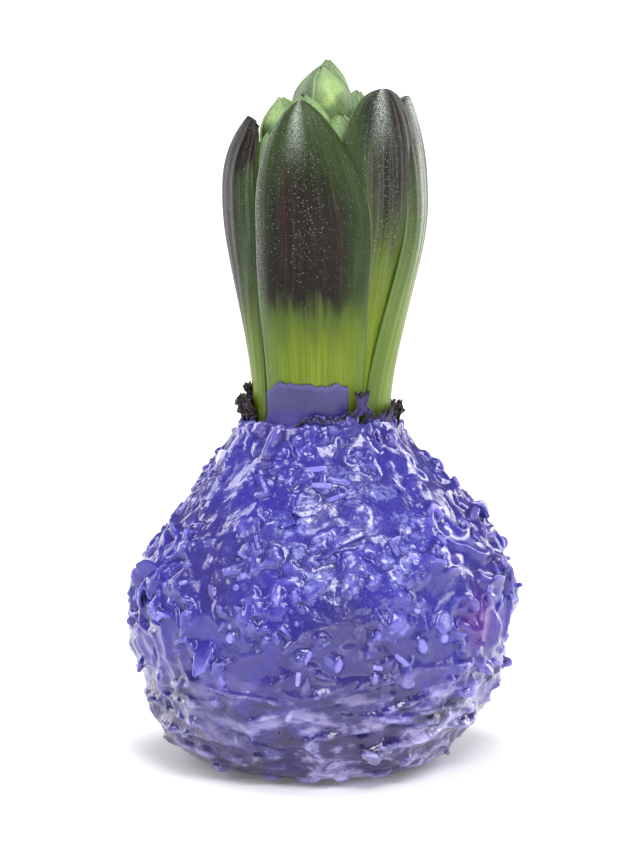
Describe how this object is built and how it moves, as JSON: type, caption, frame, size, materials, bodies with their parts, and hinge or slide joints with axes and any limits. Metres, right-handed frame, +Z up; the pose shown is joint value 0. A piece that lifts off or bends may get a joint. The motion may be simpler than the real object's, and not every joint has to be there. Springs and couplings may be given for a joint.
{
  "type": "waxed hyacinth bulb in bud",
  "caption": "Hyacinth bulb sealed in lumpy violet wax, with upright fleshy leaves round a closed green bud head.",
  "frame": {"origin": "middle of the flat foot under the wax, where it stands", "axes": "+Z up along the bulb and its shoot, -Y to the front, where the broadest leaf and the film of wax are"},
  "size_m": [0.0751, 0.0739, 0.1356],
  "materials": {
    "bulb": "matte",
    "wax": "gloss",
    "skin": "matte",
    "leaf": "satin",
    "bud": "satin"
  },
  "bodies": {
    "root": {"bulb": "bulb", "wax_coat": "wax", "bulb_skin": "skin", "leaf_front": "leaf", "leaf_left": "leaf", "leaf_inner": "leaf", "leaf_right": "leaf", "leaf_back": "leaf", "flower_head": "bud"}
  },
  "joints": []
}
